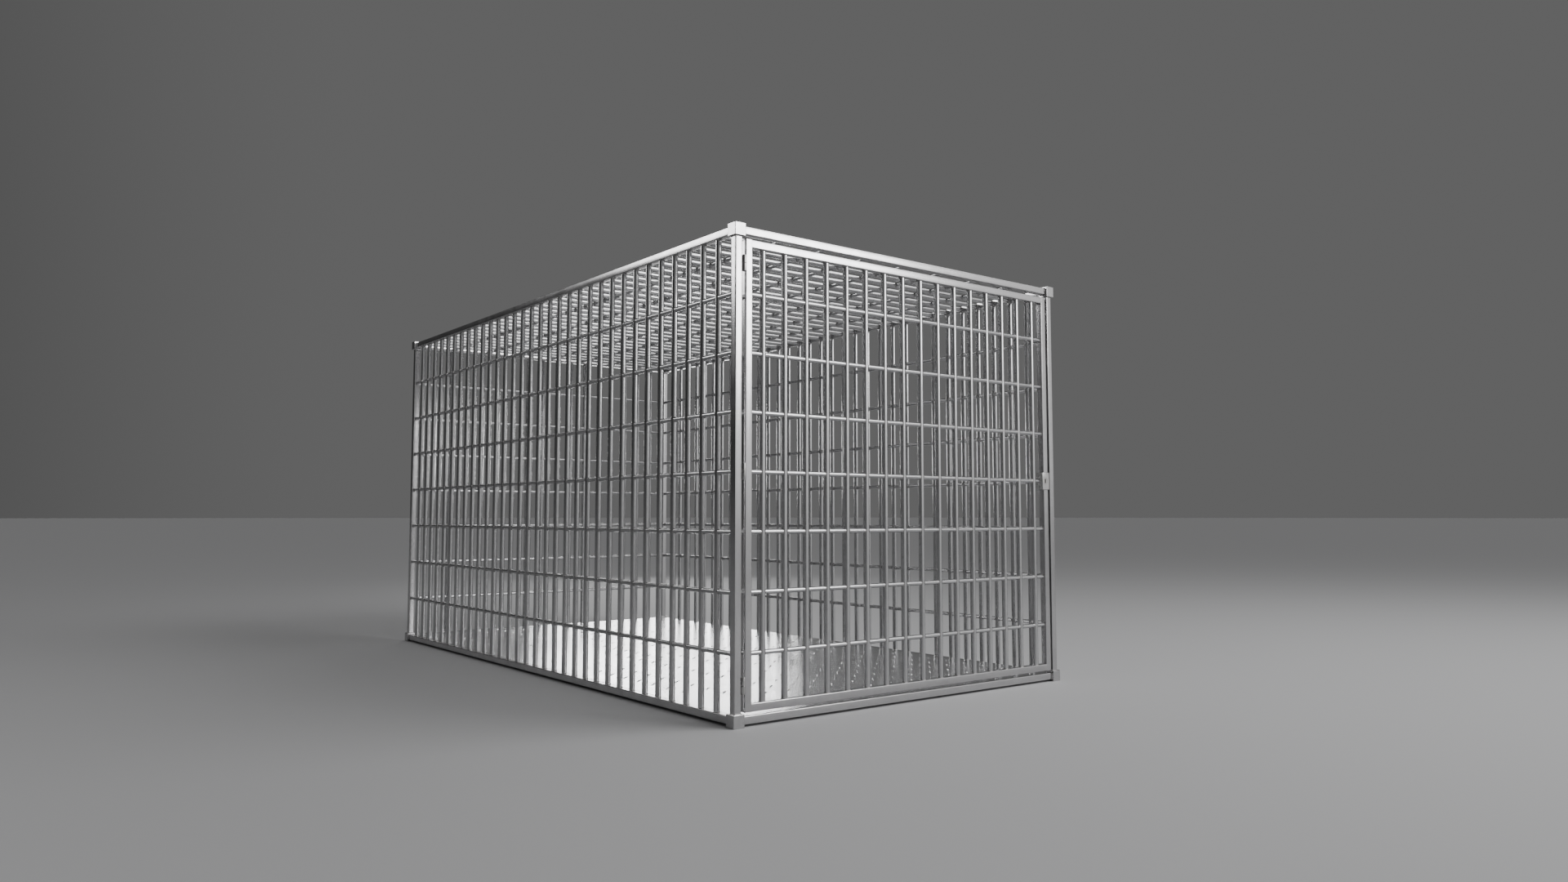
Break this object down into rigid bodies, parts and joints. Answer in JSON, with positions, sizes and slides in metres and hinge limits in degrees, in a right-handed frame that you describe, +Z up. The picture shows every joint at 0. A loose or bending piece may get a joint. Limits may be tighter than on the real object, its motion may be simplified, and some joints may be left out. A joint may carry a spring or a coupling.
{
  "type": "kennel_cage",
  "caption": "Steel kennel cage, 1206 x 2262 x 1200 mm, barred walls and roof, tread-plate floor, full-front barred door on three barrel hinges with a key lock.",
  "frame": {"origin": "bottom centre of the cage, on the surface it stands on", "axes": "+Z up, +Y along the length towards the back, the door faces -Y and its hinges are at -X"},
  "size_m": [1.206, 2.262, 1.2],
  "materials": {
    "frame_steel": "satin galvanised steel tube",
    "block_steel": "satin galvanised steel",
    "bar_steel": "bright satin steel",
    "tread_plate": "bright steel with raised tread lugs",
    "hinge_steel": "satin turned steel",
    "lock_steel": "satin steel",
    "lock_plug_metal": "satin nickel plate"
  },
  "bodies": {
    "cage": {"back_grille": "bar_steel", "bottom_rail_back": "frame_steel", "bottom_rail_front": "frame_steel", "bottom_rail_left": "frame_steel", "bottom_rail_right": "frame_steel", "corner_block_bottom_back_left": "block_steel", "corner_block_bottom_back_right": "block_steel", "corner_block_bottom_front_left": "block_steel", "corner_block_bottom_front_right": "block_steel", "corner_block_top_back_left": "block_steel", "corner_block_top_back_right": "block_steel", "corner_block_top_front_left": "block_steel", "corner_block_top_front_right": "block_steel", "floor_bearer_back": "frame_steel", "floor_bearer_front": "frame_steel", "floor_bearer_middle": "frame_steel", "floor_plate": "tread_plate", "hinge_bottom_pin": "hinge_steel", "hinge_bottom_post_knuckle": "hinge_steel", "hinge_bottom_washer": "hinge_steel", "hinge_middle_pin": "hinge_steel", "hinge_middle_post_knuckle": "hinge_steel", "hinge_middle_washer": "hinge_steel", "hinge_top_pin": "hinge_steel", "hinge_top_post_knuckle": "hinge_steel", "hinge_top_washer": "hinge_steel", "left_grille": "bar_steel", "post_back_left": "frame_steel", "post_back_right": "frame_steel", "post_front_left": "frame_steel", "post_front_right": "frame_steel", "right_grille": "bar_steel", "roof_grille": "bar_steel", "strike_plate": "lock_steel", "strike_rivet_lower": "lock_steel", "strike_rivet_upper": "lock_steel", "top_rail_back": "frame_steel", "top_rail_front": "frame_steel", "top_rail_left": "frame_steel", "top_rail_right": "frame_steel"},
    "door": {"door_bottom_rail": "frame_steel", "door_grille": "bar_steel", "door_hinge_stile": "frame_steel", "door_hinge_stile_cap_bottom": "frame_steel", "door_hinge_stile_cap_top": "frame_steel", "door_latch_stile_cap_bottom": "frame_steel", "door_latch_stile_cap_top": "frame_steel", "door_latch_stile_lower": "frame_steel", "door_latch_stile_upper": "frame_steel", "door_top_rail": "frame_steel", "hinge_bottom_door_knuckle": "hinge_steel", "hinge_middle_door_knuckle": "hinge_steel", "hinge_top_door_knuckle": "hinge_steel", "lock_barrel": "lock_steel", "lock_case": "lock_steel", "lock_front_plate": "lock_steel"},
    "lock_plug": {"lock_plug": "lock_plug_metal", "lock_cam": "lock_steel"},
    "lock_bolt": {"lock_bolt": "lock_steel"}
  },
  "joints": [
    {"name": "door_swing", "type": "hinge", "parent": "cage", "child": "door", "pos_m": [-0.57175, -1.1255, 0.6], "axis": [0, 0, -1], "range_deg": [0, 170]},
    {"name": "lock_turn", "type": "hinge", "parent": "door", "child": "lock_plug", "pos_m": [0.5527, -1.125, 0.6], "axis": [0, 1, 0], "range_deg": [0, 90]},
    {"name": "bolt_throw", "type": "slide", "parent": "door", "child": "lock_bolt", "axis": [1, 0, 0], "range_m": [0, 0.014]}
  ],
  "couplings": [
    {"joint": "bolt_throw", "follows": "lock_turn", "m_per_rad": 0.0089127}
  ]
}
